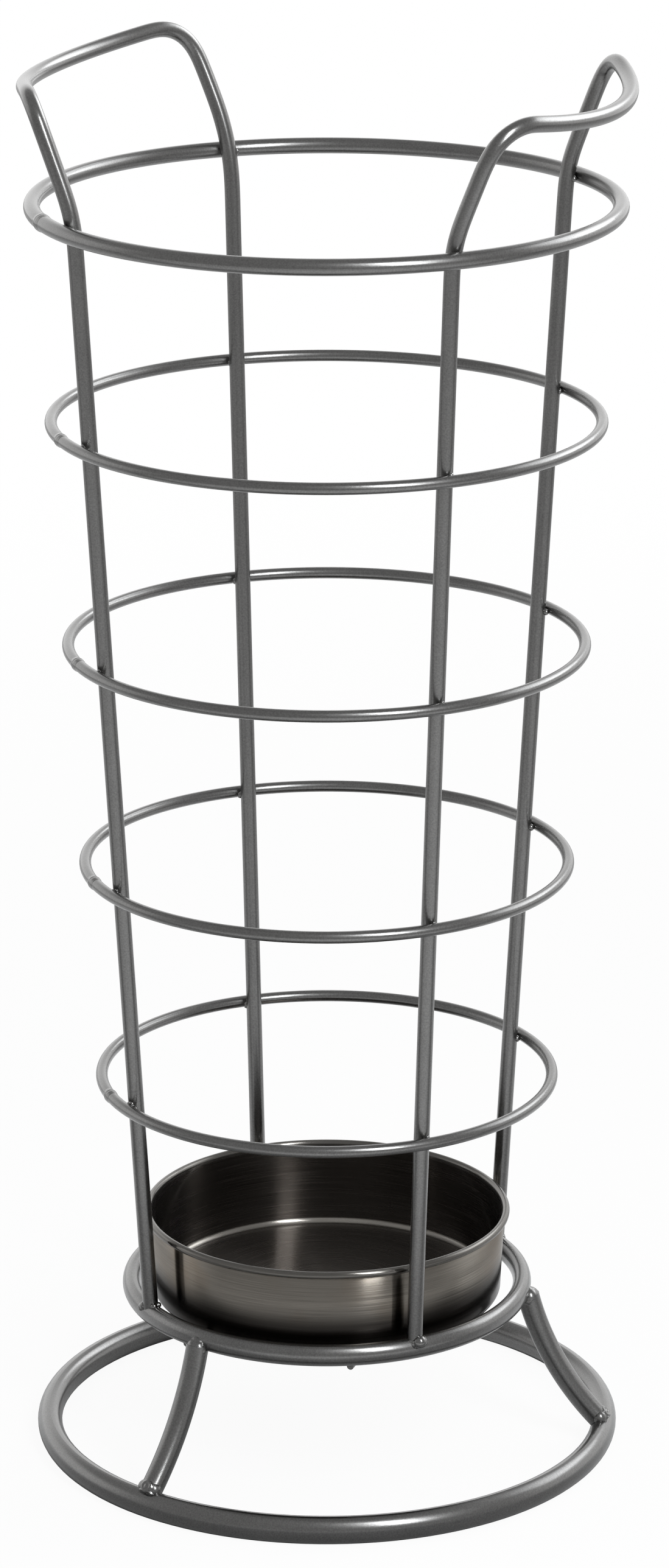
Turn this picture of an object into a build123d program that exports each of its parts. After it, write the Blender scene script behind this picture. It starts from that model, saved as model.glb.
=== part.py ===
from build123d import *
import os
from math import acos, asin, atan, cos, degrees, hypot, radians, sin, sqrt, tan

# Umbrella stand of welded steel wire with a loose drip tray.
# Millimetres, +Z up, origin on the floor under the middle of the base ring.
# The two handles face +X and -X.

# Overall sizes, all to the centre lines of the wires. The hoops are evenly spaced up from the tray ring,
# but the top one stands a little lower than that.
BASE_RADIUS = 120.0
TRAY_RING_RADIUS = 84.0
TRAY_RING_HEIGHT = 69.0
MOUTH_RADIUS = 113.0
TOP_HOOP_HEIGHT = 540.0
TOP_HOOP_DROP = 5.0
HOOP_NAMES = ["top_hoop", "upper_hoop", "middle_hoop", "lower_hoop", "bottom_hoop"]

# Wire sizes: the two rolled rings are a little taller than wide
BASE_WIRE_WIDE = 10.5
BASE_WIRE_TALL = 12.0
TRAY_RING_WIRE_WIDE = 7.8
TRAY_RING_WIRE_TALL = 9.4
UPRIGHT_WIRE = 6.6
TOP_HOOP_WIRE = 6.8
HOOP_WIRE = 5.0
LEG_WIRE = 9.6
REST_WIRE = 3.0

# Gap left between two wires, or a wire and its weld
FIT_UP = 0.1

# Handle rods: each one is bent from a single length.
# They face a little to the back, and the left one is wider.
ROD_AZIMUTHS = {"right": 1.5, "left": 178.6}
ROD_SPREADS = {"right": 46.2, "left": 48.2}
KINK_ABOVE_HOOP = 5.0
KINK_BEND = 45.0
HANDLE_RISE = 47.0
HANDLE_LEAN = 18.5
CORNER_BEND = 15.0
GRIP_TURN = 31.5
GRIP_ARC_SHARE = 0.98
GRIP_SAG = 7.0

# Legs: flared, standing on top of the base ring
LEG_AZIMUTHS = {"right": 11.0, "back": 131.0, "front": 251.0}
LEG_BEND = 125.0
LEG_TOP_OUT = 3.2
LEG_TOP_DOWN = 2.0
LEG_FOOT_SINK = 2.0

# Two parallel wires under the tray ring that the tray stands on
REST_OFFSET = 36.5
REST_SET_BACK = 1.5
REST_SET_IN = 0.3

# Drip tray of pressed sheet with a rim rolled outwards
TRAY_SHEET = 1.0
TRAY_DEPTH = 38.6
TRAY_DRAFT = 1.5
TRAY_CORNER = 6.0
TRAY_SIDE_GAP = 4.4
TRAY_SEAT_GAP = 0.3
RIM_CURL = 3.2
RIM_CURL_TURN = 270.0

# Weld beads, and the butt welds that close the hoops
HOOP_WELD = 3.7
TOP_HOOP_WELD = 4.5
UPRIGHT_WELD = 3.8
UPRIGHT_WELD_OUT = 1.7
LEG_TOP_WELD_PROUD = 1.3
LEG_FOOT_WELD_PROUD = 2.0
LEG_WELD_SPREAD = 2.2
REST_WELD = 2.2
REST_WELD_IN = 0.5
SEAM_PROUD = 0.8
SEAM_EDGE_PROUD = 0.3
SEAM_HALF_WIDTH = 2.0
SEAM_AZIMUTH = 218.0

# Heights and radii that follow from the sizes above
base_height = BASE_WIRE_TALL / 2
tray_ring_bottom = TRAY_RING_HEIGHT - TRAY_RING_WIRE_TALL / 2
hoop_pitch = (TOP_HOOP_HEIGHT + TOP_HOOP_DROP - TRAY_RING_HEIGHT) / len(HOOP_NAMES)
upright_slope = (MOUTH_RADIUS - TRAY_RING_RADIUS) / (TOP_HOOP_HEIGHT - TRAY_RING_HEIGHT)
upright_lean = atan(upright_slope)
kink_height = TOP_HOOP_HEIGHT + KINK_ABOVE_HOOP

leg_top = Vector(TRAY_RING_RADIUS + LEG_TOP_OUT, 0, TRAY_RING_HEIGHT - LEG_TOP_DOWN)
leg_foot = Vector(BASE_RADIUS, 0, BASE_WIRE_TALL - LEG_FOOT_SINK)

rest_height = tray_ring_bottom + REST_SET_IN - REST_WIRE / 2
rest_reach = TRAY_RING_RADIUS - REST_SET_BACK
tray_bottom = rest_height + REST_WIRE / 2 + TRAY_SEAT_GAP
tray_rim_height = tray_bottom + TRAY_DEPTH


def upright_radius(height):
    """Distance of an upright's centre line from the axis at a height."""
    return TRAY_RING_RADIUS + upright_slope * (height - TRAY_RING_HEIGHT)


def around(azimuth, radius, height):
    """Point at an azimuth in degrees, a distance from the axis and a height."""
    return Vector(radius * cos(radians(azimuth)), radius * sin(radians(azimuth)), height)


def bar(path, wire):
    """Round wire along a path."""
    section = Plane(origin=path @ 0, z_dir=path % 0) * Circle(wire / 2)
    return sweep(section, path=path)


def oval_ring(radius, height, wide, tall, grow=0.0):
    """Ring of oval wire around the axis, its wire grown on all sides."""
    section = Plane.XZ * Pos(radius, height) * Ellipse(wide / 2 + grow, tall / 2 + grow)
    return revolve(section, Axis.Z)


def hoop(radius, height, wire):
    """Ring of round wire around the axis."""
    return Pos(0, 0, height) * Torus(radius, wire / 2)


def seam_place(radius, height):
    """Place of a hoop's butt weld, with the wire running along Y."""
    return Rot(0, 0, SEAM_AZIMUTH) * Pos(radius, 0, height)


def base_ring(grow=0.0):
    """Ring that lies on the floor."""
    return oval_ring(BASE_RADIUS, base_height, BASE_WIRE_WIDE, BASE_WIRE_TALL, grow)


def tray_ring(grow=0.0):
    """Ring that carries the uprights and goes round the tray."""
    return oval_ring(TRAY_RING_RADIUS, TRAY_RING_HEIGHT, TRAY_RING_WIRE_WIDE, TRAY_RING_WIRE_TALL, grow)


def bead(spots, *wires):
    """Weld metal: balls given as (centre, radius), less the wires that they lie on."""
    balls = [Pos(centre) * Sphere(radius) for centre, radius in spots]
    metal = balls[0]
    for ball in balls[1:]:
        metal = metal + ball
    for wire in wires:
        metal = metal - wire
    return metal


def seam(wire):
    """Butt weld of a hoop: a barrel of weld metal between the two ends of its wire, which run along Y."""
    half = SEAM_HALF_WIDTH
    edge = wire / 2 + SEAM_EDGE_PROUD
    sides = Polyline((edge, -half), (0, -half), (0, half), (edge, half))
    crown = ThreePointArc(sides @ 1, (wire / 2 + SEAM_PROUD, 0), sides @ 0)
    return revolve(make_face(sides + crown), Axis.Y)


def seam_room(wire):
    """Room for a butt weld between the two ends of a hoop."""
    return Rot(90, 0, 0) * Cylinder(wire, 2 * (SEAM_HALF_WIDTH + FIT_UP))


def rod_path(spread):
    """Route of a handle rod that faces +X: upright, leaning leg, bowed grip, and back down."""
    feet = []
    kinks = []
    corners = []
    for side in (-spread, spread):
        kink = around(side, upright_radius(kink_height), kink_height)
        feet.append(around(side, TRAY_RING_RADIUS, TRAY_RING_HEIGHT))
        kinks.append(kink)
        corners.append(kink + Vector(HANDLE_RISE * tan(radians(HANDLE_LEAN)), 0, HANDLE_RISE))
    corner = corners[1]
    middle = Vector(corner.X + corner.Y * tan(radians(GRIP_TURN)), 0, corner.Z - GRIP_SAG)
    # The grip is one arc that fills the run between the two corner bends
    grip_run = middle - corner
    leg_run = kinks[1] - corner
    corner_turn = 180 - grip_run.get_angle(leg_run)
    corner_tangent = CORNER_BEND * tan(radians(corner_turn / 2))
    grip_half_turn = asin(hypot(grip_run.X, grip_run.Z) / grip_run.length)
    grip_bend = GRIP_ARC_SHARE * (grip_run.length - corner_tangent) / tan(grip_half_turn)
    return FilletPolyline(
        feet[0], kinks[0], corners[0], middle, corners[1], kinks[1], feet[1],
        radius=[KINK_BEND, CORNER_BEND, grip_bend, CORNER_BEND, KINK_BEND],
    )


def leg_path():
    """Arc of a leg in the XZ plane: steep under the tray ring, flared out to the base ring."""
    chord = leg_foot - leg_top
    half_turn = degrees(asin(chord.length / 2 / LEG_BEND))
    return TangentArc(leg_top, leg_foot, tangent=chord.rotate(Axis.Y, half_turn))


def drip_tray():
    """Pressed tray: floor, round corner, drafted wall and rolled rim, turned about the axis."""
    half = TRAY_SHEET / 2
    curl_radius = (RIM_CURL - TRAY_SHEET) / 2
    wall_top_radius = tray_rim_radius - RIM_CURL + half
    wall_bottom_radius = wall_top_radius - TRAY_DRAFT
    wall_top = tray_rim_height - half - curl_radius
    floor = tray_bottom + half
    side = FilletPolyline(
        (0, floor), (wall_bottom_radius, floor), (wall_top_radius, wall_top), radius=TRAY_CORNER
    )
    curl = JernArc(side @ 1, side % 1, curl_radius, -RIM_CURL_TURN)
    section = trace(side + curl, TRAY_SHEET)
    return revolve(Plane.XZ * section, Axis.Z)


def tray_rest():
    """Wire on the +X side, set into the underside of the tray ring by its welds."""
    half_length = sqrt(rest_reach**2 - REST_OFFSET**2)
    wire = Rot(90, 0, 0) * Cylinder(REST_WIRE / 2, 2 * half_length)
    return Pos(REST_OFFSET, 0, rest_height) * wire - tray_ring(FIT_UP)


# The tray follows the uprights that it slides up between
tray_rim_radius = upright_radius(tray_rim_height) - UPRIGHT_WIRE / 2 / cos(upright_lean) - TRAY_SIDE_GAP

parts = {"base_ring": base_ring(), "tray_ring": tray_ring()}

# Legs, coped to both rings
leg_room = bar(leg_path(), LEG_WIRE + 2 * FIT_UP)
leg = bar(leg_path(), LEG_WIRE) - tray_ring(FIT_UP) - base_ring(FIT_UP)
for name, azimuth in LEG_AZIMUTHS.items():
    parts["leg_" + name] = Rot(0, 0, azimuth) * leg

# Handle rods, whose four feet stand on the tray ring, and the room that each upright takes up
rod_rooms = {}
for name, azimuth in ROD_AZIMUTHS.items():
    spread = ROD_SPREADS[name]
    facing = Rot(0, 0, azimuth)
    parts[name + "_handle_rod"] = facing * bar(rod_path(spread), UPRIGHT_WIRE) - tray_ring(FIT_UP)
    rod_room = facing * bar(rod_path(spread), UPRIGHT_WIRE + 2 * FIT_UP)
    for side in (-spread, spread):
        rod_rooms[azimuth + side] = rod_room

# Tray and the wires that it stands on
right_rest = tray_rest()
parts["tray_rest_right"] = right_rest
parts["tray_rest_left"] = Rot(0, 0, 180) * right_rest
parts["drip_tray"] = drip_tray()

# Hoops stand outside the uprights, and each has four weld beads and a seam
seams = []
for number, name in enumerate(HOOP_NAMES):
    is_top = number == 0
    height = TOP_HOOP_HEIGHT if is_top else TOP_HOOP_HEIGHT + TOP_HOOP_DROP - number * hoop_pitch
    wire = TOP_HOOP_WIRE if is_top else HOOP_WIRE
    weld = TOP_HOOP_WELD if is_top else HOOP_WELD
    radius = upright_radius(height) + (UPRIGHT_WIRE / 2 + wire / 2 + FIT_UP) / cos(upright_lean)
    parts[name] = hoop(radius, height, wire) - seam_place(radius, height) * seam_room(wire)
    seams.append(seam_place(radius, height) * seam(wire))
    hoop_room = hoop(radius, height, wire + 2 * FIT_UP)
    beads = []
    for azimuth, rod_room in rod_rooms.items():
        contact = around(azimuth, radius - wire / 2, height)
        beads.append(bead([(contact, weld)], hoop_room, rod_room))
    parts[name + "_welds"] = Compound(children=beads)
parts["hoop_seam_welds"] = Compound(children=seams)

# Weld beads at the feet of the uprights, above the middle of the tray ring
beads = []
for azimuth, rod_room in rod_rooms.items():
    centre = around(azimuth, TRAY_RING_RADIUS + UPRIGHT_WELD_OUT, TRAY_RING_HEIGHT + UPRIGHT_WELD)
    beads.append(bead([(centre, UPRIGHT_WELD)], tray_ring(FIT_UP), rod_room))
parts["upright_foot_welds"] = Compound(children=beads)

# Weld beads at both ends of the legs, two runs each: the top ones stay below the middle of the tray ring
leg_weld_shift = LEG_WIRE / 4
top_weld = leg_weld_shift + LEG_TOP_WELD_PROUD
foot_weld = leg_weld_shift + LEG_FOOT_WELD_PROUD
top_spots = []
foot_spots = []
for side in (-LEG_WELD_SPREAD, LEG_WELD_SPREAD):
    top_spots.append((Vector(leg_top.X + leg_weld_shift, side, TRAY_RING_HEIGHT - top_weld), top_weld))
    foot_spots.append((leg_foot + Vector(0, side, leg_weld_shift), foot_weld))
top_bead = bead(top_spots, tray_ring(FIT_UP), leg_room)
foot_bead = bead(foot_spots, base_ring(FIT_UP), leg_room)
parts["leg_top_welds"] = Compound(children=[Rot(0, 0, turn) * top_bead for turn in LEG_AZIMUTHS.values()])
parts["leg_foot_welds"] = Compound(children=[Rot(0, 0, turn) * foot_bead for turn in LEG_AZIMUTHS.values()])

# Weld beads at both ends of the two rest wires
rest_azimuth = degrees(acos(REST_OFFSET / rest_reach))
beads = []
for turn in (0, 180):
    for azimuth in (-rest_azimuth, rest_azimuth):
        centre = around(azimuth, rest_reach - REST_WELD_IN, tray_ring_bottom)
        beads.append(Rot(0, 0, turn) * bead([(centre, REST_WELD)], tray_ring(FIT_UP), right_rest))
parts["tray_rest_welds"] = Compound(children=beads)

os.makedirs("parts", exist_ok=True)
for name, part in parts.items():
    export_step(part, f"parts/{name}.step")
    print(name, len(part.solids()), "solids", round(part.volume, 1), "mm3")
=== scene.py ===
# %% [markdown]
# # An umbrella stand of grey lacquered wire
# The stand is welded from round steel wire: a heavy base ring, three flared legs, a ring for the drip tray,
# two long bent rods that end in handles, and five hoops. The model comes from CAD at its real size, and this
# lesson gives it its finishes, its weld beads, a floor, light and a camera. Every length is in metres.

import math
import random
from itertools import repeat

import bmesh
import bpy
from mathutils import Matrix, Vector


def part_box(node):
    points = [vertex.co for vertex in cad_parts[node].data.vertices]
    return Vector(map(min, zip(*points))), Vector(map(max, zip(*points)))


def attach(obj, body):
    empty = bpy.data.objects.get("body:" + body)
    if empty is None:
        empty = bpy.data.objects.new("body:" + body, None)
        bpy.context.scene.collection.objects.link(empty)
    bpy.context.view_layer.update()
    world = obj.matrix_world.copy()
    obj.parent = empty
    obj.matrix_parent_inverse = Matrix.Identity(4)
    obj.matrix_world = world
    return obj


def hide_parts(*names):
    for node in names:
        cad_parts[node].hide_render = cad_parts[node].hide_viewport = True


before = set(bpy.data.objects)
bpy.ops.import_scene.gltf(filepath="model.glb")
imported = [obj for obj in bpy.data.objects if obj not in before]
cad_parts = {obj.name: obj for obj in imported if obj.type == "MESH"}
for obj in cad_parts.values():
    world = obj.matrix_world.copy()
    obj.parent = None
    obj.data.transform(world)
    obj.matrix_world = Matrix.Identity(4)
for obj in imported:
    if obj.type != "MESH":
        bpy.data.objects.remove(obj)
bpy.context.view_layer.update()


def new_object(name, data):
    """Object of a camera, lamp or mesh, linked to the scene."""
    obj = bpy.data.objects.new(name, data)
    bpy.context.scene.collection.objects.link(obj)
    return obj


# %% [markdown]
# ## The camera
# The photograph was taken from above, with a long lens, a little to the right of the stand's own front.
# The camera stands on a circle around the stand's axis, so two lengths and three angles place it.
# A small turn to the right puts the axis left of the middle of the picture, as in the photograph.

# %% Camera
CAMERA_AZIMUTH = math.radians(19.5)
CAMERA_DISTANCE = 2.3426
CAMERA_HEIGHT = 1.0324
CAMERA_PITCH = math.radians(17.53)
CAMERA_TURN = math.radians(0.08)
LENS_MM = 134.5
SENSOR_MM = 36.0

camera_data = bpy.data.cameras.new("camera")
camera_data.lens = LENS_MM
camera_data.sensor_width = SENSOR_MM
camera = new_object("camera", camera_data)
to_camera = Vector((math.sin(CAMERA_AZIMUTH), -math.cos(CAMERA_AZIMUTH), 0.0))
to_right = Vector((math.cos(CAMERA_AZIMUTH), math.sin(CAMERA_AZIMUTH), 0.0))
camera.location = to_camera * CAMERA_DISTANCE + Vector((0.0, 0.0, CAMERA_HEIGHT))
camera.rotation_euler = (math.pi / 2 - CAMERA_PITCH, 0.0, CAMERA_AZIMUTH - CAMERA_TURN)
bpy.context.scene.camera = camera
print("camera at", [round(v, 3) for v in camera.location])

# %% [markdown]
# ## Small helpers for nodes
# A material is a tree of nodes. Three helpers keep the lessons short: one makes a node and sets its values,
# one joins two sockets, and one starts a new material.


# %% Node helpers
def add_node(tree, kind, **values):
    """New node of a kind, with its properties and its inputs set by name."""
    node = tree.nodes.new(kind)
    for name, value in values.items():
        if hasattr(node, name):
            setattr(node, name, value)
        else:
            node.inputs[name.replace("_", " ")].default_value = value
    return node


def join(tree, source, target):
    """Link from an output socket to an input socket."""
    tree.links.new(source, target)


def new_material(name):
    """Material with an empty node tree and an output node."""
    material = bpy.data.materials.new(name)
    material.use_nodes = True
    material.node_tree.nodes.clear()
    output = add_node(material.node_tree, "ShaderNodeOutputMaterial")
    return material, material.node_tree, output


# %% [markdown]
# ## Floor and room
# Satin metal shows little of itself: it shows the room. In the photograph the wires are light along their
# edges, where they mirror a white sweep behind the stand, and grey in front, where they mirror a dimmer room.
# The floor and the world are plain white to the camera. To metal the sweep is white as well, up to a little
# above the horizon, and the ceiling and the camera's side of the room are dimmer. To metal the floor also
# holds a painted shadow: it is dark in a band just in front of the stand.

# %% Room levels and socket helpers
SWEEP_LEVEL = 1.0
ROOM_LEVEL = 0.41
FILL_LEVEL = 0.5
SWEEP_TOP = 0.4
SWEEP_FADE = 0.22
BEHIND_START = 0.35
BEHIND_FULL = -0.25
WHITE = (1.0, 1.0, 1.0, 1.0)


def math_node(tree, operation, first, second):
    """Result of an operation on two sockets or numbers."""
    node = add_node(tree, "ShaderNodeMath", operation=operation)
    for slot, value in enumerate((first, second)):
        if isinstance(value, (int, float)):
            node.inputs[slot].default_value = value
        else:
            join(tree, value, node.inputs[slot])
    return node.outputs[0]


def vector_math(tree, operation, first, second=None):
    """Result of an operation on vectors: a number for lengths and dot products, else a vector."""
    node = add_node(tree, "ShaderNodeVectorMath", operation=operation)
    join(tree, first, node.inputs[0])
    target = node.inputs["Scale"] if operation == "SCALE" else node.inputs[1]
    if isinstance(second, bpy.types.NodeSocket):
        join(tree, second, target)
    elif second is not None:
        target.default_value = second
    return node.outputs["Value" if operation in ("LENGTH", "DOT_PRODUCT") else "Vector"]


def ramp(tree, value, start, end, low=0.0, high=1.0):
    """Smooth step of a value from low at start to high at end."""
    node = add_node(
        tree, "ShaderNodeMapRange", interpolation_type="SMOOTHSTEP",
        From_Min=start, From_Max=end, To_Min=low, To_Max=high)
    join(tree, value, node.inputs["Value"])
    return node.outputs["Result"]


def blend_levels(tree, share, first, second):
    """Level between two others, by a share from 0 to 1."""
    node = add_node(tree, "ShaderNodeMix", data_type="FLOAT")
    join(tree, share, node.inputs["Factor"])
    for name, value in (("A", first), ("B", second)):
        if isinstance(value, (int, float)):
            node.inputs[name].default_value = value
        else:
            join(tree, value, node.inputs[name])
    return node.outputs["Result"]


def towards_camera(tree, vector):
    """How far a vector reaches towards the camera's side of the room."""
    return vector_math(tree, "DOT_PRODUCT", vector, to_camera)


def ray_masks(tree):
    """Masks for rays from the camera, and for rays that metal or glass sends on."""
    path = add_node(tree, "ShaderNodeLightPath")
    glossy, transmitted = path.outputs["Is Glossy Ray"], path.outputs["Is Transmission Ray"]
    return path.outputs["Is Camera Ray"], math_node(tree, "MAXIMUM", glossy, transmitted)


# %% World
world = bpy.data.worlds.new("room")
bpy.context.scene.world = world
world.use_nodes = True
world_tree = world.node_tree
world_tree.nodes.clear()
direction = add_node(world_tree, "ShaderNodeTexCoord").outputs["Generated"]
height = add_node(world_tree, "ShaderNodeSeparateXYZ")
join(world_tree, direction, height.inputs[0])
low_band = ramp(world_tree, height.outputs["Z"], SWEEP_TOP + SWEEP_FADE, SWEEP_TOP)
behind = ramp(world_tree, towards_camera(world_tree, direction), BEHIND_START, BEHIND_FULL)
sweep = math_node(world_tree, "MULTIPLY", low_band, behind)
mirrored_room = blend_levels(world_tree, sweep, ROOM_LEVEL, SWEEP_LEVEL)
camera_ray, mirrored_ray = ray_masks(world_tree)
lit_room = blend_levels(world_tree, mirrored_ray, FILL_LEVEL, mirrored_room)
background = add_node(world_tree, "ShaderNodeBackground", Color=WHITE)
join(world_tree, blend_levels(world_tree, camera_ray, lit_room, 1.0), background.inputs["Strength"])
world_output = add_node(world_tree, "ShaderNodeOutputWorld")
join(world_tree, background.outputs[0], world_output.inputs["Surface"])
print("world nodes:", len(world_tree.nodes))

# %% Floor
FLOOR_HALF = 4.0
FLOOR_GLOW = 0.94
SHADOW_REACH = 0.5
WHITE_REACH = 1.8
PAPER_WHITE = 0.9
BACK_FLOOR = 0.85
# Painted shadow: the floor's level, as metal sees it, in a band just in front of the stand
PAINTED_SHADOW_FLOOR = 0.36
FRONT_FLOOR = 0.97
BACK_EDGE = -0.1
NEAR_START = 0.14
NEAR_END = 0.16
FRONT_START = 0.36

floor_mesh = bpy.data.meshes.new("floor")
corners = [(x * FLOOR_HALF, y * FLOOR_HALF, 0.0) for x, y in ((-1, -1), (1, -1), (1, 1), (-1, 1))]
floor_mesh.from_pydata(corners, [], [(0, 1, 2, 3)])
floor = new_object("floor", floor_mesh)
floor_material, floor_tree, floor_output = new_material("floor_white")
place = add_node(floor_tree, "ShaderNodeNewGeometry").outputs["Position"]
forward = towards_camera(floor_tree, place)
# Painted shadow: seen by metal, the floor is dark just in front of the stand and brightens further out
painted_shadow_ramp = ramp(floor_tree, forward, NEAR_END, FRONT_START, PAINTED_SHADOW_FLOOR, FRONT_FLOOR)
near_share = ramp(floor_tree, forward, BACK_EDGE, NEAR_START)
mirrored_floor_with_painted_shadow = blend_levels(floor_tree, near_share, BACK_FLOOR, painted_shadow_ramp)
camera_ray, mirrored_ray = ray_masks(floor_tree)
paper = add_node(floor_tree, "ShaderNodeBsdfDiffuse")
join(floor_tree, blend_levels(floor_tree, mirrored_ray, PAPER_WHITE, mirrored_floor_with_painted_shadow), paper.inputs["Color"])
glow = add_node(floor_tree, "ShaderNodeEmission", Color=WHITE, Strength=1.0)
surface = add_node(floor_tree, "ShaderNodeMixShader")
distance = vector_math(floor_tree, "LENGTH", place)
glow_share = ramp(floor_tree, distance, SHADOW_REACH, WHITE_REACH, FLOOR_GLOW, 1.0)
join(floor_tree, math_node(floor_tree, "MULTIPLY", camera_ray, glow_share), surface.inputs["Fac"])
join(floor_tree, paper.outputs[0], surface.inputs[1])
join(floor_tree, glow.outputs[0], surface.inputs[2])
join(floor_tree, surface.outputs[0], floor_output.inputs["Surface"])
floor_mesh.materials.append(floor_material)
print("floor is", 2 * FLOOR_HALF, "m wide")

# %% [markdown]
# ## Lamps
# The highlights of the photograph tell where its lamps stood. A short bright line on the front of each hoop,
# a narrow stripe down the front leg and an upright streak inside the tray all point to a tall strip box in
# front of the stand, thirty degrees to the right of the camera. White bands on both grips and on the right
# side of the hoops point to one large soft box behind the stand, on its right.

# %% Lamps
LAMP_TINT = (0.96, 0.98, 1.0)


def soft_box(name, azimuth, distance, height, width, tall, strength, aim, spread):
    """Lamp at an azimuth to the right of the camera, aimed at a height on the stand's axis."""
    lamp = bpy.data.lights.new(name, "AREA")
    lamp.shape = "RECTANGLE"
    lamp.size = width
    lamp.size_y = tall
    lamp.energy = strength * math.pi * width * tall
    lamp.spread = math.radians(spread)
    lamp.color = LAMP_TINT
    obj = new_object(name, lamp)
    turn = math.radians(azimuth)
    obj.location = (to_camera * math.cos(turn) + to_right * math.sin(turn)) * distance
    obj.location.z = height
    obj.rotation_euler = (Vector((0.0, 0.0, aim)) - obj.location).to_track_quat("-Z", "Y").to_euler()
    obj.visible_camera = False
    return obj


lamps = [
    soft_box(
        "strip_box", azimuth=30.0, distance=1.44, height=1.4, width=0.36, tall=1.15,
        strength=4.5, aim=0.3, spread=100.0),
    soft_box(
        "large_box", azimuth=128.0, distance=2.0, height=1.78, width=2.4, tall=1.2,
        strength=0.66, aim=0.97, spread=70.0),
]
print("lamps:", {lamp.name: round(lamp.data.energy, 1) for lamp in lamps})

# %% [markdown]
# ## Lacquer on the wire
# The wire is sprayed with a grey lacquer full of fine metal flakes. From a step away it is a satin grey, and
# close up it has a fine grain of lighter and darker flakes. The grain is a node group, because wire and weld
# beads both use it. It changes only the colour: with a bump as well, every highlight would break into dots,
# and on the real stand the highlights are smooth.

# %% Flake grain group
FLAKES_PER_METRE = 1500.0
FLAKE_CONTRAST = 0.9
CLOUDS_PER_METRE = 60.0
CLOUD_WEIGHT = 0.3
MEAN_SPECKLE = 0.65


def flake_grain_group():
    """Node group: a colour speckled by fine flakes, with slow clouds in it."""
    group = bpy.data.node_groups.new("flake_grain", "ShaderNodeTree")
    group.interface.new_socket("Color", in_out="INPUT", socket_type="NodeSocketColor")
    group.interface.new_socket("Contrast", in_out="INPUT", socket_type="NodeSocketFloat")
    group.interface.new_socket("Flakes per Metre", in_out="INPUT", socket_type="NodeSocketFloat")
    group.interface.new_socket("Color", in_out="OUTPUT", socket_type="NodeSocketColor")
    inside = add_node(group, "NodeGroupInput")
    outside = add_node(group, "NodeGroupOutput")
    place = add_node(group, "ShaderNodeTexCoord").outputs["Object"]
    flakes = add_node(group, "ShaderNodeTexNoise", Detail=2.0, Roughness=0.6)
    join(group, place, flakes.inputs["Vector"])
    join(group, inside.outputs["Flakes per Metre"], flakes.inputs["Scale"])
    clouds = add_node(group, "ShaderNodeTexNoise", Scale=CLOUDS_PER_METRE, Detail=3.0)
    join(group, place, clouds.inputs["Vector"])
    cloud = math_node(group, "MULTIPLY", clouds.outputs["Fac"], CLOUD_WEIGHT)
    speckle = math_node(group, "ADD", flakes.outputs["Fac"], cloud)
    offset = math_node(group, "SUBTRACT", speckle, MEAN_SPECKLE)
    swing = math_node(group, "MULTIPLY", offset, inside.outputs["Contrast"])
    tint = vector_math(group, "SCALE", inside.outputs["Color"], math_node(group, "ADD", swing, 1.0))
    join(group, tint, outside.inputs["Color"])
    return group


flake_grain = flake_grain_group()
print("flake grain nodes:", len(flake_grain.nodes))

# %% Lacquer
LACQUER_GREY = (0.178, 0.176, 0.172, 1.0)


def lacquer(name, roughness, coat_roughness):
    """Grey metallic lacquer with a thin clear top coat."""
    material, tree, output = new_material(name)
    skin = add_node(
        tree, "ShaderNodeBsdfPrincipled", Metallic=1.0, Roughness=roughness,
        Coat_Weight=1.0, Coat_Roughness=coat_roughness)
    grain = add_node(
        tree, "ShaderNodeGroup", node_tree=flake_grain, Color=LACQUER_GREY,
        Contrast=FLAKE_CONTRAST, Flakes_per_Metre=FLAKES_PER_METRE)
    join(tree, grain.outputs["Color"], skin.inputs["Base Color"])
    join(tree, skin.outputs["BSDF"], output.inputs["Surface"])
    return material


wire_lacquer = lacquer("wire_lacquer", roughness=0.28, coat_roughness=0.2)
weld_lacquer = lacquer("weld_lacquer", roughness=0.2, coat_roughness=0.08)
print("lacquers:", wire_lacquer.name, weld_lacquer.name)

# %% [markdown]
# ## Tray
# The tray is spun from sheet and lacquered a dark bronze. The spinning leaves fine lines around it, which
# pull every highlight out across them: the strip box shows as one upright streak on the wall inside, and the
# uprights show in the wall outside with sharp sides and soft ends. A tangent that runs around the axis and a
# strong anisotropy give that. The colours carry painted shade: darker inside, on the walls and on the floor,
# and black low down outside. A pale painted reflection in the corner around the floor draws its bright arc,
# and the rim is worn pale.

# %% Tray levels and masks
tray_low, tray_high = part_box("drip_tray")
RIM_DEPTH = 0.0028
RIM_FULL = 0.7 * RIM_DEPTH
TURN_FADE = 0.2
OUTSIDE_BRONZE = (0.242, 0.224, 0.198, 1.0)
# Painted shade: the inside is darker than the outside, on the walls and on the floor
SHADED_INSIDE_BRONZE = (0.085, 0.076, 0.068, 1.0)
SHADED_FLOOR_BRONZE = (0.13, 0.117, 0.105, 1.0)
# Painted reflection: a pale arc in the corner around the floor
PAINTED_ARC_BRONZE = (0.36, 0.34, 0.31, 1.0)
RIM_BRONZE = (0.17, 0.162, 0.15, 1.0)
STAIN_BROWN = (0.2, 0.155, 0.112, 1.0)
OUTSIDE_ROUGHNESS = 0.2
INSIDE_ROUGHNESS = 0.26
OUTSIDE_COAT = 0.06
INSIDE_COAT = 0.4
LINES_PER_METRE = 2000.0
SCRATCHES_PER_METRE = 25.0
# Painted shade: black low down on the outside wall, below a top height and fading upwards
PAINTED_SHADE_BLACK = (0.03, 0.027, 0.024, 1.0)
PAINTED_SHADE_TOP = 0.089
PAINTED_SHADE_FADE = 0.012
BREAK_RANGE = (0.3, 0.7)
LINE_DEPTHS = (0.5, 1.5)
STAIN_RANGE = (0.45, 0.75)
STAIN_SHARE = 0.6
FLOOR_FACES = (0.6, 0.9)
ARC_START_FACES = (0.1, 0.4)
ARC_END_FACES = (0.99, 0.9)
ROUGH_SWING = 0.5
MEAN_NOISE = 0.5
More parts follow.
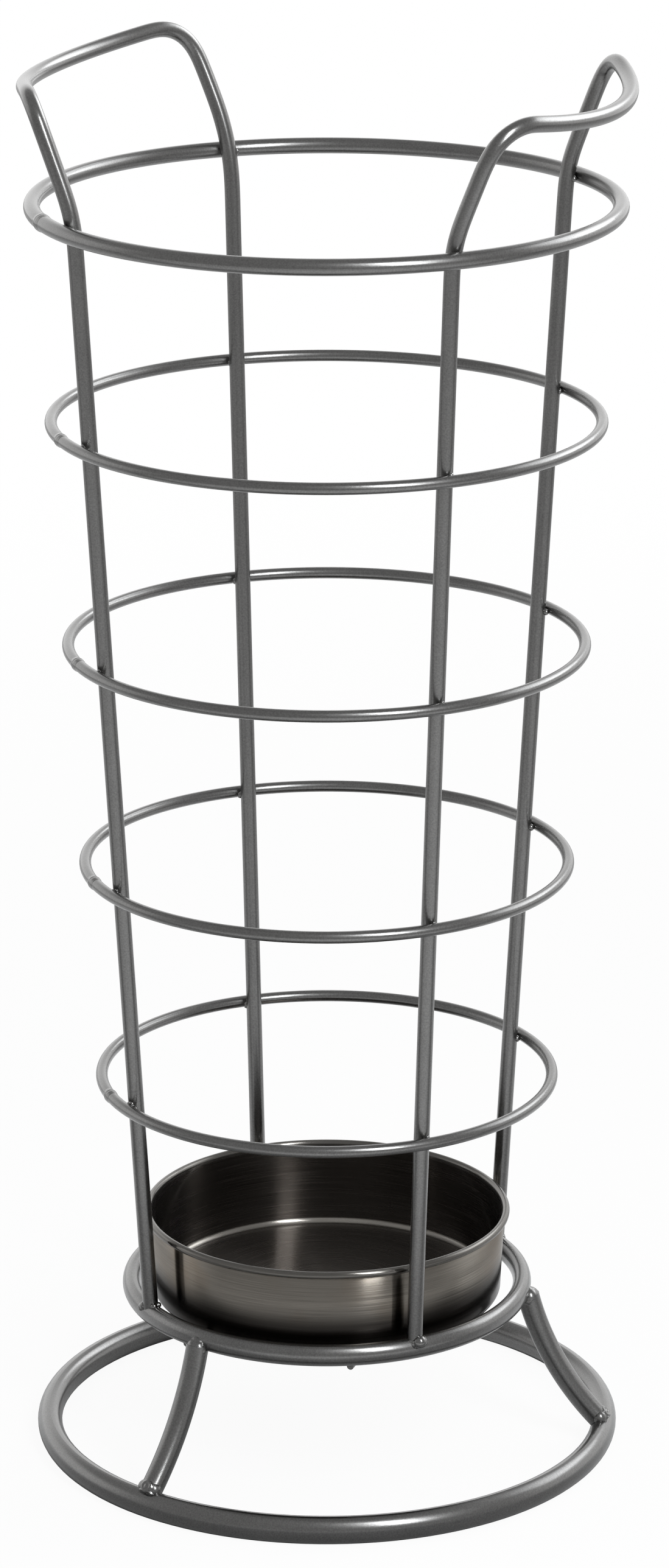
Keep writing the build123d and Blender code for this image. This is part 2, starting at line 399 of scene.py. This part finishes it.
# Places of the colour sockets among all sockets of a mix node
COLOR_A, COLOR_B, COLOR_RESULT = 6, 7, 2


def mix_colors(tree, share, first, second):
    """Colour between two others, by a share from 0 to 1."""
    node = add_node(tree, "ShaderNodeMix", data_type="RGBA")
    join(tree, share, node.inputs["Factor"])
    for socket, value in ((node.inputs[COLOR_A], first), (node.inputs[COLOR_B], second)):
        if isinstance(value, tuple):
            socket.default_value = value
        else:
            join(tree, value, socket)
    return node.outputs[COLOR_RESULT]


tray_bronze, tray_tree, tray_output = new_material("tray_bronze")
place = add_node(tray_tree, "ShaderNodeTexCoord").outputs["Object"]
normal = add_node(tray_tree, "ShaderNodeNewGeometry").outputs["Normal"]
place_parts = add_node(tray_tree, "ShaderNodeSeparateXYZ")
join(tray_tree, place, place_parts.inputs[0])
normal_parts = add_node(tray_tree, "ShaderNodeSeparateXYZ")
join(tray_tree, normal, normal_parts.inputs[0])
flat_place = vector_math(tray_tree, "MULTIPLY", place, (1.0, 1.0, 0.0))
outward = vector_math(tray_tree, "NORMALIZE", flat_place)
faces_out = vector_math(tray_tree, "DOT_PRODUCT", outward, normal)
faces_up = normal_parts.outputs["Z"]
faces_in = math_node(tray_tree, "SUBTRACT", faces_up, faces_out)
inside_share = ramp(tray_tree, faces_in, -TURN_FADE, TURN_FADE)
rise = place_parts.outputs["Z"]
rim_share = ramp(tray_tree, rise, tray_high[2] - RIM_DEPTH, tray_high[2] - RIM_FULL)
# Share of the painted shade low down on the outside wall
painted_shade_share = ramp(tray_tree, rise, PAINTED_SHADE_TOP, PAINTED_SHADE_TOP - PAINTED_SHADE_FADE)
print("tray from", round(tray_low[2], 4), "to", round(tray_high[2], 4), "m")

# %% Turned lines
from_axis = vector_math(tray_tree, "LENGTH", flat_place)
across = math_node(tray_tree, "SUBTRACT", from_axis, rise)
line_place = add_node(tray_tree, "ShaderNodeCombineXYZ")
for axis, value, per_metre in (
        ("X", place_parts.outputs["X"], SCRATCHES_PER_METRE),
        ("Y", place_parts.outputs["Y"], SCRATCHES_PER_METRE),
        ("Z", across, LINES_PER_METRE)):
    join(tray_tree, math_node(tray_tree, "MULTIPLY", value, per_metre), line_place.inputs[axis])
lines = add_node(tray_tree, "ShaderNodeTexNoise", Scale=1.0, Detail=3.0, Roughness=0.6)
join(tray_tree, line_place.outputs[0], lines.inputs["Vector"])
breaks = add_node(tray_tree, "ShaderNodeTexNoise", Scale=45.0, Detail=4.0)
join(tray_tree, place, breaks.inputs["Vector"])
depth = ramp(tray_tree, breaks.outputs["Fac"], *BREAK_RANGE, *LINE_DEPTHS)
line_offset = math_node(tray_tree, "SUBTRACT", lines.outputs["Fac"], MEAN_NOISE)
line_swing = math_node(tray_tree, "MULTIPLY", line_offset, depth)
stains = add_node(tray_tree, "ShaderNodeTexNoise", Scale=28.0, Detail=5.0)
join(tray_tree, place, stains.inputs["Vector"])
stain_share = ramp(tray_tree, stains.outputs["Fac"], *STAIN_RANGE, 0.0, STAIN_SHARE)
print("turned lines per metre:", LINES_PER_METRE)

# %% Tray bronze
tray_skin = add_node(
    tray_tree, "ShaderNodeBsdfPrincipled", Metallic=1.0, Anisotropic=0.9,
    Anisotropic_Rotation=0.25, Coat_Roughness=0.06)
tangent = add_node(tray_tree, "ShaderNodeTangent", direction_type="RADIAL", axis="Z")
join(tray_tree, tangent.outputs["Tangent"], tray_skin.inputs["Tangent"])
stained = mix_colors(tray_tree, stain_share, OUTSIDE_BRONZE, STAIN_BROWN)
# Painted shade turns the outside wall black low down
outside = mix_colors(tray_tree, painted_shade_share, stained, PAINTED_SHADE_BLACK)
# Painted shade: the inside is dark, a little less so on the floor
shaded_inside = mix_colors(tray_tree, ramp(tray_tree, faces_up, *FLOOR_FACES), SHADED_INSIDE_BRONZE, SHADED_FLOOR_BRONZE)
# Painted reflection: the pale arc in the corner around the floor
arc_start_share = ramp(tray_tree, faces_up, *ARC_START_FACES)
painted_arc_share = math_node(tray_tree, "MULTIPLY", arc_start_share, ramp(tray_tree, faces_up, *ARC_END_FACES))
inside_with_painted_arc = mix_colors(tray_tree, painted_arc_share, shaded_inside, PAINTED_ARC_BRONZE)
walls = mix_colors(tray_tree, inside_share, outside, inside_with_painted_arc)
all_over = mix_colors(tray_tree, rim_share, walls, RIM_BRONZE)
lined = vector_math(tray_tree, "SCALE", all_over, math_node(tray_tree, "ADD", line_swing, 1.0))
join(tray_tree, lined, tray_skin.inputs["Base Color"])
tray_gloss = blend_levels(tray_tree, inside_share, OUTSIDE_ROUGHNESS, INSIDE_ROUGHNESS)
rough_swing = math_node(tray_tree, "MULTIPLY", line_swing, ROUGH_SWING)
rough_lines = math_node(tray_tree, "ADD", rough_swing, 1.0)
join(tray_tree, math_node(tray_tree, "MULTIPLY", tray_gloss, rough_lines), tray_skin.inputs["Roughness"])
tray_coat = blend_levels(tray_tree, inside_share, OUTSIDE_COAT, INSIDE_COAT)
join(tray_tree, tray_coat, tray_skin.inputs["Coat Weight"])
join(tray_tree, tray_skin.outputs["BSDF"], tray_output.inputs["Surface"])
print("tray nodes:", len(tray_tree.nodes))

# %% Paint the CAD nodes
for name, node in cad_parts.items():
    finish = weld_lacquer if name.endswith("_welds") else wire_lacquer
    if name == "drip_tray":
        finish = tray_bronze
    node.data.materials.clear()
    node.data.materials.append(finish)
print("painted", len(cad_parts), "nodes")

# %% [markdown]
# ## The bent rods
# Each handle rod is one length of wire, bent by hand on a jig: a soft knee above the top hoop, a tight
# corner, a bowed grip, and the same way down. The CAD rods have equal bends on both sides. The photograph
# shows that the bends differ, so each rod is swept again along its own line. A line is a row of bend points,
# each rounded with its own radius and then eased, because a real bend runs out softly into the straight wire.

# %% Bent rods
MM = 0.001
ROD_STEP = 2.0 * MM
ROD_EASE = 12
ROD_SIDES = 32
UPRIGHT_RADIUS = 3.3 * MM
# Each row: x, y and z of a bend point and the radius of its bend, in millimetres
RIGHT_BENDS = [
    (59.7, -59.1, 69.0, 0.0), (80.5, -79.7, 544.8, 54.0), (99.9, -79.2, 594.0, 18.0),
    (143.0, 3.2, 580.5, 134.0),
    (94.4, 84.2, 593.4, 13.6), (76.3, 83.8, 544.9, 54.0), (56.5, 62.1, 69.0, 0.0),
]
LEFT_BENDS = [
    (-57.5, -61.2, 69.0, 0.0), (-77.6, -82.6, 544.8, 60.0), (-95.7, -82.4, 592.8, 14.9),
    (-138.5, 5.5, 584.1, 123.0),
    (-93.9, 86.3, 595.0, 17.0), (-73.4, 86.3, 544.8, 110.0), (-54.4, 64.0, 69.0, 0.0),
]


def rounded_line(bends, arc_steps=16):
    """Points of a line through bend points given in millimetres, each with its bend radius."""
    spots = [Vector(bend[:3]) * MM for bend in bends]
    line = [spots[0]]
    for before, spot, after, bend in zip(spots, spots[1:], spots[2:], bends[1:]):
        back = (before - spot).normalized()
        ahead = (after - spot).normalized()
        half = back.angle(ahead) / 2
        radius = bend[3] * MM
        middle = spot + (back + ahead).normalized() * radius / math.sin(half)
        first = (spot + back * radius / math.tan(half) - middle).normalized()
        last = (spot + ahead * radius / math.tan(half) - middle).normalized()
        line += [middle + first.slerp(last, step / arc_steps) * radius for step in range(arc_steps + 1)]
    return line + [spots[-1]]


def even_line(line, step):
    """Points at even steps along a line, with its last point."""
    points = [line[0]]
    wait = step
    for start, end in zip(line, line[1:]):
        run = (end - start).length
        while wait < run:
            points.append(start.lerp(end, wait / run))
            wait += step
        wait -= run
    return points + [line[-1]]


def eased_line(points, passes):
    """Line whose inner points are drawn towards their neighbours."""
    for _ in range(passes):
        inner = [(a + b * 2 + c) / 4 for a, b, c in zip(points, points[1:], points[2:])]
        points = [points[0]] + inner + [points[-1]]
    return points


def swept_wire(name, points, radius):
    """Round wire along a line. Each ring of points is turned from the last one without twist."""
    corners = []
    side = Vector((1.0, 0.0, 0.0))
    for before, point, after in zip(points[:1] + points, points, points[1:] + points[-1:]):
        ahead = (after - before).normalized()
        side = (side - ahead * side.dot(ahead)).normalized()
        across = ahead.cross(side)
        for step in range(ROD_SIDES):
            turn = 2.0 * math.pi * step / ROD_SIDES
            corners.append(point + (side * math.cos(turn) + across * math.sin(turn)) * radius)
    faces = [tuple(reversed(range(ROD_SIDES))), tuple(range(len(corners) - ROD_SIDES, len(corners)))]
    for row in range(0, len(corners) - ROD_SIDES, ROD_SIDES):
        for step in range(ROD_SIDES):
            after = (step + 1) % ROD_SIDES
            faces.append((row + step, row + after, row + ROD_SIDES + after, row + ROD_SIDES + step))
    mesh = bpy.data.meshes.new(name)
    mesh.from_pydata(corners, [], faces)
    mesh.shade_smooth()
    return new_object(name, mesh)


for side_name, bends in (("right", RIGHT_BENDS), ("left", LEFT_BENDS)):
    line = eased_line(even_line(rounded_line(bends), ROD_STEP), ROD_EASE)
    rod = swept_wire(side_name + "_bent_rod", line, UPRIGHT_RADIUS)
    rod.data.materials.append(wire_lacquer)
    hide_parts(side_name + "_handle_rod")
    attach(rod, "frame")
    print(rod.name, "has", len(rod.data.polygons), "faces")

# %% [markdown]
# ## The spun tray
# In the photograph the floor of the tray meets its wall in a tight corner that shows as one thin bright arc.
# The CAD tray has a wider corner, so the tray is turned again here from its half section: floor, tight
# corner, drafted wall, a rim rolled outwards, and the same way back along the outside of the sheet.

# %% Spun tray
SHEET = 1.0 * MM
TIGHT_CORNER = 2.6 * MM
RIM_ROLL = 1.6 * MM
WALL_DRAFT = 1.5 * MM
GUARD = 0.3 * MM
MERGE = 0.001 * MM
TRAY_STEPS = 200
ROLL_ANGLES = (180.0, -140.0)
ROLL_STEPS = 32


def arc_points(middle, size, start, end, count=10):
    """Points of an arc in the half section, from one angle in degrees to another."""
    angles = [math.radians(start + (end - start) * step / count) for step in range(count + 1)]
    return [(middle[0] + size * math.cos(a), middle[1] + size * math.sin(a)) for a in angles]


rim_radius = (tray_high[0] - tray_low[0]) / 2
roll = (rim_radius - RIM_ROLL, tray_high[2] - RIM_ROLL)
wall_top = rim_radius - 2 * RIM_ROLL
wall_low = wall_top - WALL_DRAFT
floor_top = tray_low[2] + SHEET
corner = (wall_low - TIGHT_CORNER, floor_top + TIGHT_CORNER)
section = [(0.0, floor_top), (corner[0] - GUARD, floor_top)]
section += arc_points(corner, TIGHT_CORNER, -90.0, 0.0)
section += [(wall_low, corner[1] + GUARD), (wall_top, roll[1] - GUARD)]
section += arc_points(roll, RIM_ROLL, *ROLL_ANGLES, ROLL_STEPS)
section += [(wall_top + SHEET, roll[1] - RIM_ROLL), (wall_low + SHEET, corner[1] + GUARD)]
section += arc_points(corner, TIGHT_CORNER + SHEET, 0.0, -90.0)
section += [(corner[0] - GUARD, tray_low[2]), (0.0, tray_low[2])]
turned = bmesh.new()
outline = [turned.verts.new((out, 0.0, rise)) for out, rise in section]
chain = [turned.edges.new(pair) for pair in zip(outline, outline[1:])]
bmesh.ops.spin(turned, geom=outline + chain, axis=(0.0, 0.0, 1.0), steps=TRAY_STEPS, angle=2.0 * math.pi)
bmesh.ops.remove_doubles(turned, verts=turned.verts, dist=MERGE)
bmesh.ops.recalc_face_normals(turned, faces=turned.faces)
tray_mesh = bpy.data.meshes.new("spun_tray")
turned.to_mesh(tray_mesh)
turned.free()
tray_mesh.shade_smooth()
tray_mesh.materials.append(tray_bronze)
spun_tray = new_object("spun_tray", tray_mesh)
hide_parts("drip_tray")
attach(spun_tray, "tray")
print("spun tray has", len(tray_mesh.polygons), "faces")

# %% [markdown]
# ## Weld beads
# The CAD has each bead as plain balls. A real bead is metal that has run: several lumps melted into one, a
# little different at each joint. Round lumps are placed around the middle of the CAD bead, melted into one
# skin by a voxel remesh and smoothed, and that skin replaces the CAD node.

# %% Bead places
WELD_SEED = 7
MELT_VOXEL = 0.25 * MM
SMOOTH_STEPS = 14
SMOOTH_FACTOR = 0.5
SIZE_SPREAD = (0.94, 1.06)


def bead_places(name):
    """Middle of each separate bead of a CAD weld node, in the order of their azimuths."""
    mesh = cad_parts[name].data
    keys = [tuple(round(c, 6) for c in vertex.co) for vertex in mesh.vertices]
    parent = {key: key for key in keys}

    def root(key):
        while parent[key] != key:
            key = parent[key]
        return key

    for face in mesh.polygons:
        first = root(keys[face.vertices[0]])
        for corner in face.vertices[1:]:
            parent[root(keys[corner])] = first
    beads = {}
    for key in parent:
        beads.setdefault(root(key), []).append(key)
    middles = []
    for points in beads.values():
        middles.append(Vector([(min(axis) + max(axis)) / 2 for axis in zip(*points)]))
    return sorted(middles, key=lambda place: math.atan2(place.y, place.x))


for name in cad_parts:
    if name.endswith("_welds"):
        print(name, [round(math.degrees(math.atan2(p.y, p.x))) for p in bead_places(name)])


# %% Melted lumps
chance = random.Random(WELD_SEED)


def lumps_at(middle, table):
    """Lumps around a bead's middle. A row has millimetres outwards, sideways and up, and a radius."""
    outwards = Vector((middle.x, middle.y, 0.0)).normalized()
    sideways = Vector((-outwards.y, outwards.x, 0.0))
    lumps = []
    for out, side, up, radius in table:
        place = middle + (outwards * out + sideways * side + Vector((0.0, 0.0, up))) * MM
        lumps.append((place, radius * chance.uniform(*SIZE_SPREAD) * MM))
    return lumps


def melt(name, lumps, replaced, finish=weld_lacquer):
    """One skin over all lumps, which replaces a CAD weld node and takes a finish."""
    shape = bmesh.new()
    for place, radius in lumps:
        ball = bmesh.ops.create_icosphere(shape, subdivisions=3, radius=radius)
        bmesh.ops.translate(shape, verts=ball["verts"], vec=place)
    balls = bpy.data.meshes.new(name + "_balls")
    shape.to_mesh(balls)
    shape.free()
    piece = new_object(name, balls)
    skin = piece.modifiers.new("melt", "REMESH")
    skin.mode = "VOXEL"
    skin.voxel_size = MELT_VOXEL
    relax = piece.modifiers.new("relax", "SMOOTH")
    relax.factor = SMOOTH_FACTOR
    relax.iterations = SMOOTH_STEPS
    evaluated = piece.evaluated_get(bpy.context.evaluated_depsgraph_get())
    melted = bpy.data.meshes.new_from_object(evaluated)
    piece.modifiers.clear()
    piece.data = melted
    melted.shade_smooth()
    melted.materials.clear()
    melted.materials.append(finish)
    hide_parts(replaced)
    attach(piece, "frame")
    print(name, "has", len(melted.polygons), "faces")


def melt_group(stem, tables, finish=weld_lacquer):
    """Beads of one CAD weld node, each from its own table of lumps."""
    drops = []
    for middle, table in zip(bead_places(stem + "_welds"), tables):
        drops += lumps_at(middle, table)
    melt(stem + "_beads", drops, stem + "_welds", finish)


# %% [markdown]
# ## Beads of the hoops
# A hoop touches each upright at one point. The bead fills the corners around that point: a drop below the
# hoop, a smaller one above, and one at each side of the upright.

# %% Hoop beads
HOOPS = ("top_hoop", "upper_hoop", "middle_hoop", "lower_hoop", "bottom_hoop")
CORNER_DROPS = [
    (-0.3, 0.4, -2.0, 1.5), (-0.5, -2.4, -0.5, 1.5), (-0.5, 2.4, -0.6, 1.6), (-0.2, 0.9, 1.5, 1.2),
]
SIDE_SHIFT = 0.5
SIZE_SHIFT = 0.2


def shifted_drops():
    """The corner drops, each moved sideways and resized a little by chance."""
    drops = []
    for out, side, up, radius in CORNER_DROPS:
        side += chance.uniform(-SIDE_SHIFT, SIDE_SHIFT)
        drops.append((out, side, up, radius + chance.uniform(-SIZE_SHIFT, SIZE_SHIFT)))
    return drops


for hoop in HOOPS:
    drops = []
    for middle in bead_places(hoop + "_welds"):
        drops += lumps_at(middle, shifted_drops())
    melt(hoop + "_beads", drops, hoop + "_welds")

# %% [markdown]
# ## Beads under the uprights
# The four feet of the handle rods stand on the tray ring. The right front foot has one round glossy drop on
# its outer side, the left front foot a flat smear outside and two small balls inside, and the back feet only
# thin runs of metal.

# %% Foot beads
FOOT_DROPS = [
    [
        (0.4, -1.4, -0.4, 2.2), (0.8, -2.8, -1.4, 2.0), (-0.8, -2.9, 0.0, 1.8),
        (-1.6, 3.5, 0.6, 1.5), (-3.8, 3.4, 0.9, 1.4),
    ],
    [(1.5, 0.9, -0.3, 3.1), (0.6, 2.6, 0.8, 1.5), (0.2, -0.6, -1.2, 2.4), (-0.6, -2.6, -0.4, 1.5)],
    [(0.2, 0.0, -0.8, 2.0), (-0.4, 2.2, -0.6, 1.7), (-0.4, -2.2, -0.6, 1.7)],
    [(0.6, 0.4, -0.4, 2.4), (-0.2, 2.4, -0.4, 1.9), (-0.2, -2.2, -0.6, 1.8)],
]
melt_group("upright_foot", FOOT_DROPS)

# %% [markdown]
# ## Beads of the legs
# A leg is twice as thick as a hoop, so its welds are the widest. At the top a low, dull patch runs across
# the leg just under the ring. At the foot the metal has sunk around the last drop, which left a small crater.

# %% Leg beads
LEG_TOP_DROPS = [
    (-2.0, -0.6, 0.3, 4.2), (-2.0, 0.6, 0.3, 4.2), (-3.4, 0.0, 1.2, 4.0), (-2.3, -2.2, -0.6, 2.8),
    (-2.1, 2.3, -0.4, 2.8), (-1.9, 0.2, -1.9, 3.3), (-1.5, 0.6, -3.4, 2.4),
]
LEG_FOOT_DROPS = [(-1.2, -2.2, -0.9, 3.5), (-1.2, 1.8, -0.9, 3.5), (-1.8, -0.2, 0.2, 3.6)]
CRATER_TILT = math.radians(40.0)
CRATER_SIDE = 0.2
CRATER_FLOOR = 1.5
CRATER_EDGE = 1.6
CRATER_RADIUS = 2.0
FLOOR_LUMP = 1.2
EDGE_LUMP = 0.9
EDGE_LUMPS = 12

level, steep = math.cos(CRATER_TILT), math.sin(CRATER_TILT)
crater = [(CRATER_FLOOR * level, CRATER_SIDE, CRATER_FLOOR * steep, FLOOR_LUMP)]
for step in range(EDGE_LUMPS):
    turn = 2.0 * math.pi * step / EDGE_LUMPS
    along, climb = CRATER_RADIUS * math.cos(turn), CRATER_RADIUS * math.sin(turn)
    out, up = CRATER_EDGE * level - climb * steep, CRATER_EDGE * steep + climb * level
    crater.append((out, CRATER_SIDE + along, up, EDGE_LUMP))
melt_group("leg_top", repeat(LEG_TOP_DROPS), wire_lacquer)
melt_group("leg_foot", repeat(LEG_FOOT_DROPS + crater), wire_lacquer)

# %% Rest wire beads
REST_DROPS = [(0.0, 0.0, 0.8, 1.8), (0.4, 1.3, 0.8, 1.6), (0.2, -1.3, 0.8, 1.6)]
melt_group("tray_rest", repeat(REST_DROPS))

# %% [markdown]
# ## Seams of the hoops
# Each hoop is a length of wire bent round and closed with a butt weld that was ground down. What is left is a
# low swelling with a faint groove along its middle. It is turned as rings of points along the hoop's own arc.

# %% Seams
# Each row: millimetres along the hoop and how far the seam stands proud of the wire
SEAM_PROFILE = [
    (-3.6, -0.05), (-3.0, 0.05), (-2.0, 0.14), (-1.1, 0.3), (-0.4, 0.34), (0.0, 0.2),
    (0.4, 0.32), (1.1, 0.28), (2.0, 0.14), (3.0, 0.05), (3.6, -0.05),
]
RING_POINTS = 40
corners = []
faces = []
seams = sorted(bead_places("hoop_seam_welds"), key=lambda place: place.z)
for hoop, middle in zip(reversed(HOOPS), seams):
    low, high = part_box(hoop)
    wire = (high[2] - low[2]) / 2
    reach = (high[0] - low[0]) / 2 - wire
    start = math.atan2(middle.y, middle.x)
    base = len(corners)
    for along_arc, proud in SEAM_PROFILE:
        turn = start + along_arc * MM / reach
        swell = wire + proud * MM
        for point in range(RING_POINTS):
            around = 2.0 * math.pi * point / RING_POINTS
            out = reach + swell * math.cos(around)
            up = middle.z + swell * math.sin(around)
            corners.append((out * math.cos(turn), out * math.sin(turn), up))
    last = base + (len(SEAM_PROFILE) - 1) * RING_POINTS
    for row in range(base, last, RING_POINTS):
        for point in range(RING_POINTS):
            after = (point + 1) % RING_POINTS
            faces.append((row + point, row + RING_POINTS + point, row + RING_POINTS + after, row + after))
    faces.append(tuple(base + point for point in range(RING_POINTS)))
    faces.append(tuple(last + point for point in reversed(range(RING_POINTS))))
seam_mesh = bpy.data.meshes.new("hoop_seams")
seam_mesh.from_pydata(corners, [], faces)
seam_mesh.shade_smooth()
seam_mesh.materials.append(wire_lacquer)
seam_piece = new_object("hoop_seams", seam_mesh)
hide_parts("hoop_seam_welds")
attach(seam_piece, "frame")
print("seams:", len(seams))

# %% [markdown]
# ## View transform
# The view transform stays plain, so a colour is shown as it is written.

# %% Finish
bpy.context.scene.view_settings.view_transform = "Standard"
